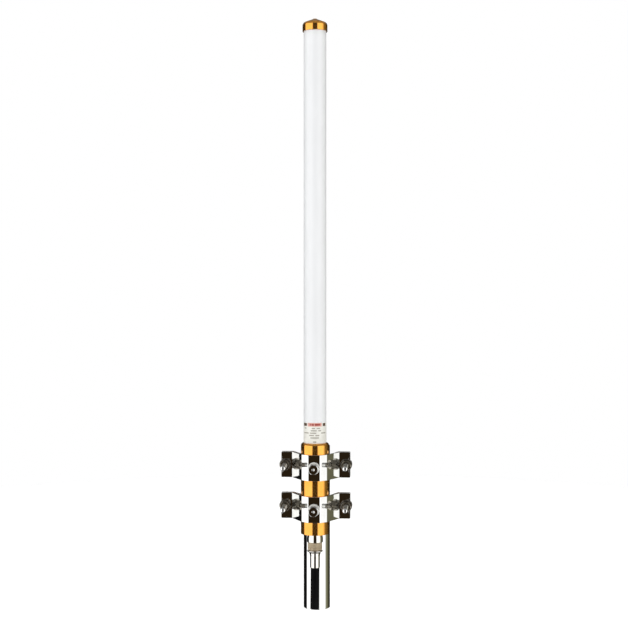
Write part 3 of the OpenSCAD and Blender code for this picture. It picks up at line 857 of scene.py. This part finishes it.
def point_shape(length):
    """The bright plain end of a bolt, which starts just inside its thread and ends in a dome. Its dome
    catches real reflections, and the lighter polished steel it gets is a painted highlight for the shine on
    the thread's crests.
    """
    foot = length - POINT_LEN - 0.3
    turns = [math.pi / 2 * k / DOME_STEPS for k in range(DOME_STEPS, -1, -1)]
    dome = [(length - DOME_H * (1 - math.cos(turn)), POINT_R * math.sin(turn)) for turn in turns]
    return turned([(foot, 0), (foot, POINT_R)] + dome, BOLT_SIDES)


def nut_shape():
    """Hexagon nut from z = 0, with both faces chamfered and its thread countersunk."""
    bore = BOLT_R + THREAD_GAP
    inside = [(NUT_H, bore + NUT_SINK), (NUT_H - NUT_SINK, bore), (NUT_SINK, bore), (0, bore + NUT_SINK)]
    return turned(hexagon_stations(NUT_ACROSS, 0, NUT_H) + inside, NUT_SIDES, True)


def washer_shape():
    return ring_shape(WASHER_R, BOLT_HOLE_R, 0, WASHER_T, edge=0.22, segments=WASHER_SIDES)


def split_washer(outer, inner, thickness):
    """A spring washer squeezed flat: a square-edged ring with a narrow gap."""
    section = [(thickness, inner), (thickness, outer), (0, outer), (0, inner)]
    section = softened(section, SPLIT_EDGE, True, 2)
    points, faces = [], []
    for k in range(SPLIT_STEPS + 1):
        angle = SPLIT_GAP / 2 + (TAU - SPLIT_GAP) * (k / SPLIT_STEPS) + SPLIT_AT
        points += [(r * math.cos(angle), r * math.sin(angle), z) for z, r in section]
    n = len(section)
    for k in range(SPLIT_STEPS):
        for i in range(n):
            j = (i + 1) % n
            faces.append((k * n + i, k * n + j, (k + 1) * n + j, (k + 1) * n + i))
    faces.append(tuple(range(n)))
    faces.append(tuple(SPLIT_STEPS * n + i for i in reversed(range(n))))
    return points, faces


def forward_place(x, y, z):
    """Where a shape that points along +Z stands when it faces the front from a place in millimetres."""
    return Matrix.Translation((x, y, z)) @ FACING_FRONT


def pair(shape):
    """A shape at both of a clamp's bolts."""
    return joined(*(moved(shape, Matrix.Translation((side * BOLT_X, 0, 0))) for side in SIDES))


ear_holes = [(side * EAR_HOLE, BOLT_HOLE_R) for side in SIDES]
front_points, front_faces, front_inside = bracket_shape(ear_holes + [(0, GRIP_HOLE_R)])
rear_points, rear_faces, rear_inside = bracket_shape(ear_holes)
rear_bracket = moved((drawn_in(rear_points), rear_faces), Matrix.Scale(-1, 4, (0, 1, 0)))
REAR_AXIS_Y = box_mm("lower_rear_bracket")[1].y - HUG_R


def bracket_pieces(clamp, height):
    """A clamp's brackets, polished outside and satin inside, with light painted into the satin's lighter,
    part-metallic colour on the shaded inner faces.
    """
    front_place = Matrix.Translation((AXIS.x, AXIS.y, height))
    rear_place = Matrix.Translation((AXIS.x, REAR_AXIS_Y, height))
    piece(f"{clamp}_front_bracket", (front_points, front_faces), mirror_steel, front_place,
          lining=(satin_steel_painted_light, front_inside))
    piece(f"{clamp}_rear_bracket", rear_bracket, mirror_steel, rear_place,
          lining=(satin_steel_painted_light, rear_inside))


def bolt_pieces(clamp, height):
    """The two clamp bolts, their points, and the washers on them."""
    low, high = box_mm(f"{clamp}_bolts")
    length = high.y - low.y - HEAD_H
    under_head = forward_place(AXIS.x, high.y - HEAD_H, height)
    piece(f"{clamp}_bolts", pair(bolt_shape(length)), dull_steel, under_head)
    # The points get polished steel, lighter than the dull bolts. This is a painted highlight for the shine
    # on the thread's crests.
    piece(f"{clamp}_bolts", pair(point_shape(length)), mirror_steel, under_head,
          name=f"{clamp}_bolt_points", stands_in=False)
    lock_washer = split_washer(LOCK_WASHER_R, BOLT_HOLE_R, LOCK_WASHER_T - SLACK)
    for part, shape in (("rear_washers", washer_shape()), ("front_washers", washer_shape()),
                        ("lock_washers", lock_washer)):
        back = box_mm(f"{clamp}_{part}")[1].y
        piece(f"{clamp}_{part}", pair(shape), dull_steel, forward_place(AXIS.x, back, height))


def nut_pieces(clamp, height):
    """The nuts on the two clamp bolts, and the jam nut on the middle one."""
    for part, material in (("left_nut", nut_steel), ("right_nut", nut_steel), ("jam_nut", mirror_steel)):
        low, high = box_mm(f"{clamp}_{part}")
        place = forward_place((low.x + high.x) / 2, high.y, height)
        piece(f"{clamp}_{part}", nut_shape(), material, place)


def grip_pieces(clamp, height):
    """The middle bolt, whose head faces the front, and its washer."""
    low, high = box_mm(f"{clamp}_grip_bolt")
    grip = moved(bolt_shape(high.y - low.y - HEAD_H), Matrix.Rotation(math.pi, 4, "X"))
    piece(f"{clamp}_grip_bolt", grip, mirror_steel, forward_place(AXIS.x, low.y + HEAD_H, height))
    back = box_mm(f"{clamp}_grip_washer")[1].y
    piece(f"{clamp}_grip_washer", washer_shape(), satin_steel_painted_light, forward_place(AXIS.x, back, height))


for clamp in CLAMPS:
    clamp_height = middle_mm(f"{clamp}_front_bracket").z
    bracket_pieces(clamp, clamp_height)
    bolt_pieces(clamp, clamp_height)
    nut_pieces(clamp, clamp_height)
    grip_pieces(clamp, clamp_height)


# ---------- plug ----------
KNURLS = 54
SIDES_PER_KNURL = 6
KNURL_DEPTH = 0.42
KNURL_LEVELS = 48
PLUG_NECK_R = 7.08
COUPLING_R = 9.5
WAIST_R = 8.6
WAIST_TOP = 85.0
WAIST_LIP = 0.45  # how far the plain ends of the waist are cut down
BELL_FLOOR = 80.7  # the bell reaches down inside the waist
nut_low, nut_high = (c.z for c in box_mm("plug_coupling_nut"))


def knurled(low, crest):
    """Radius of crossed diagonal ridges, which leave small pyramids."""
    pitch = TAU * crest / KNURLS

    def radius(angle, z):
        across, up = angle * KNURLS / TAU, (z - low) / pitch
        ridge_a = abs((across + up) % 1 - 0.5) * 2
        ridge_b = abs((across - up) % 1 - 0.5) * 2
        return crest - KNURL_DEPTH * max(ridge_a, ridge_b)
    return radius


def waist_shape():
    """The knurled waist of the coupling nut, a closed ring."""
    low = nut_low + 0.5
    levels = [low + (WAIST_TOP - low) * k / KNURL_LEVELS for k in range(KNURL_LEVELS + 1)]
    pattern = knurled(low, WAIST_R)
    stations = [(nut_low, PLUG_NECK_R), (nut_low, WAIST_R - 0.6), (low, WAIST_R - WAIST_LIP)]
    stations += [(z, pattern) for z in levels]
    stations += [(WAIST_TOP, WAIST_R - WAIST_LIP), (WAIST_TOP, PLUG_NECK_R)]
    return turned(stations, KNURLS * SIDES_PER_KNURL, True)


def bell_shape():
    """The polished bell of the coupling nut, which stands on the waist and reaches down inside it."""
    inner_r = WAIST_R - 0.7
    bore = BARREL_R + THREAD_GAP
    outside = [(BELL_FLOOR, PLUG_NECK_R), (BELL_FLOOR, inner_r), (WAIST_TOP, inner_r),
               (WAIST_TOP + 0.7, COUPLING_R), (nut_high - 4.5, COUPLING_R), (nut_high, COUPLING_R - 0.9)]
    inside = [(nut_high, bore), (BELL_FLOOR + 0.05, bore)]
    return turned(softened(outside + inside, 0.4), PLUG_SIDES, True)


def gland_shape():
    """The gland nut: a narrow tail, a cone and a rim, bored for the cable and wider at its seat."""
    low, rim = (c.z for c in box_mm("plug_gland_nut"))
    tail_r, bore, seat, seat_r = 5.9, FEEDER_R + 0.2, 72.4, 6.55
    tail = [(low, bore), (low, tail_r), (rim - 6.4, tail_r)]
    cone = [(rim - 3, tail_r + 0.9), (rim - 0.9, COUPLING_R)]
    edge = [(rim, COUPLING_R), (rim, seat_r)]
    inside = [(seat, seat_r), (seat, bore)]
    return turned(softened(tail + cone + edge, 0.35, False) + inside, PLUG_SIDES, True)


piece("plug_coupling_nut", bell_shape(), nickel)
piece("plug_coupling_nut", waist_shape(), knurled_nickel, name="plug_coupling_knurl", stands_in=False)
piece("plug_gland_nut", gland_shape(), nickel)


# ---------- studio ----------
WHITE_BOX = 1.55  # how bright the softboxes look in the polished parts
DARK_GAP = (-15, 23)  # dark gap between the two softboxes, in degrees from the front
OLIVE = (1.0, 0.97, 0.58)
BROWN = (1.0, 0.62, 0.28)
WHITE = (1, 1, 1)
# What stands round the object: degrees from the front towards +X, brightness, and tint
SURROUNDINGS = (
    (-180, 0.01, WHITE),
    (-98, 0.005, WHITE),
    (-89, WHITE_BOX, WHITE),
    (DARK_GAP[0] - 6, WHITE_BOX, WHITE),
    (DARK_GAP[0], 0.024, BROWN),
    (DARK_GAP[1], 0.024, BROWN),
    (DARK_GAP[1] + 7, WHITE_BOX, WHITE),
    (72, WHITE_BOX, WHITE),
    (84, 1.0, WHITE),
    (94, 0.30, OLIVE),
    (104, 0.18, OLIVE),
    (122, 0.15, OLIVE),
    (130, 0.02, OLIVE),
    (180, 0.01, WHITE),
)
CEILING = (22, 38, 0.32)  # elevations in degrees between which it takes over, and its brightness
GROUND = (-45, -65, 0.2)
FLOOR_Z = -0.035
FLOOR_RADIUS = 1.3
FLOOR_SIDES = 64


def tinted(brightness, tint):
    return rgba(brightness * t for t in tint)


def studio_world():
    """Two tall softboxes left and right of a dark gap, a dim room behind, and a white backdrop."""
    world = bpy.data.worlds.new("studio")
    scene.world = world
    world.use_nodes = True
    tree = world.node_tree
    tree.nodes.clear()
    way = add(tree, "ShaderNodeTexCoord").outputs["Generated"]
    split = add(tree, "ShaderNodeSeparateXYZ", [("Vector", way)]).outputs
    forward = math_node(tree, "MULTIPLY", split["Y"], -1.0)
    azimuth = math_node(tree, "ARCTAN2", split["X"], forward)
    share = spread(tree, azimuth, 0, 1, -math.pi, math.pi)
    ring = add(tree, "ShaderNodeValToRGB", [("Fac", share)])
    elements = ring.color_ramp.elements
    while len(elements) > 1:
        elements.remove(elements[-1])
    for k, (degrees, brightness, tint) in enumerate(SURROUNDINGS):
        position = (degrees + 180) / 360
        element = elements[0] if k == 0 else elements.new(position)
        element.position = position
        element.color = tinted(brightness, tint)
    lit = ring.outputs["Color"]
    for start, end, brightness in (CEILING, GROUND):
        from_z, to_z = (math.sin(math.radians(elevation)) for elevation in (start, end))
        reached = spread(tree, split["Z"], 0, 1, from_z, to_z)
        lit = blend_colours(tree, reached, lit, tinted(brightness, WHITE))
    room = add(tree, "ShaderNodeBackground", [("Color", lit)])
    backdrop = add(tree, "ShaderNodeBackground", [("Color", rgba(WHITE))])
    seen = add(tree, "ShaderNodeLightPath").outputs["Is Camera Ray"]
    inputs = [("Fac", seen), (1, room.outputs[0]), (2, backdrop.outputs[0])]
    both = add(tree, "ShaderNodeMixShader", inputs).outputs[0]
    add(tree, "ShaderNodeOutputWorld", [("Surface", both)])


def soft_light(name, place, target, size, watts):
    """A square softbox that lights the object but stays out of its reflections."""
    data = bpy.data.lights.new(name, "AREA")
    data.size = size
    data.energy = watts
    made = bpy.data.objects.new(name, data)
    scene.collection.objects.link(made)
    made.location = place
    made.rotation_euler = (Vector(target) - Vector(place)).to_track_quat("-Z", "Y").to_euler()
    made.visible_glossy = False


def pale_floor():
    """A wide white floor that melts into the backdrop."""
    mesh = bpy.data.meshes.new("floor")
    angles = [TAU * k / FLOOR_SIDES for k in range(FLOOR_SIDES)]
    points = [(FLOOR_RADIUS * math.cos(angle), FLOOR_RADIUS * math.sin(angle), FLOOR_Z)
              for angle in angles]
    mesh.from_pydata(points, [], [tuple(range(FLOOR_SIDES))])
    made = bpy.data.objects.new("floor", mesh)
    scene.collection.objects.link(made)
    paint = bpy.data.materials.new("floor_paint")
    paint.use_nodes = True
    tree = paint.node_tree
    shader = tree.nodes["Principled BSDF"]
    tone = spread(tree, noise(tree, 300), 0, 1)
    colour = blend_colours(tree, tone, tinted(0.90, WHITE), tinted(0.92, WHITE))
    link(tree, colour, shader.inputs["Base Color"])
    shader.inputs["Roughness"].default_value = 0.9
    mesh.materials.append(paint)
    made.visible_glossy = False


studio_world()
soft_light("key_light", place=(-1.6, -1.6, 1.7), target=(0, 0, 0.3), size=1.2, watts=9.5)
soft_light("fill_light", place=(1.7, -1.5, 1.2), target=(0, 0, 0.3), size=1.4, watts=8)
soft_light("top_light", place=(0, 0.6, 4), target=(0, 0.6, 0), size=4, watts=175)
pale_floor()
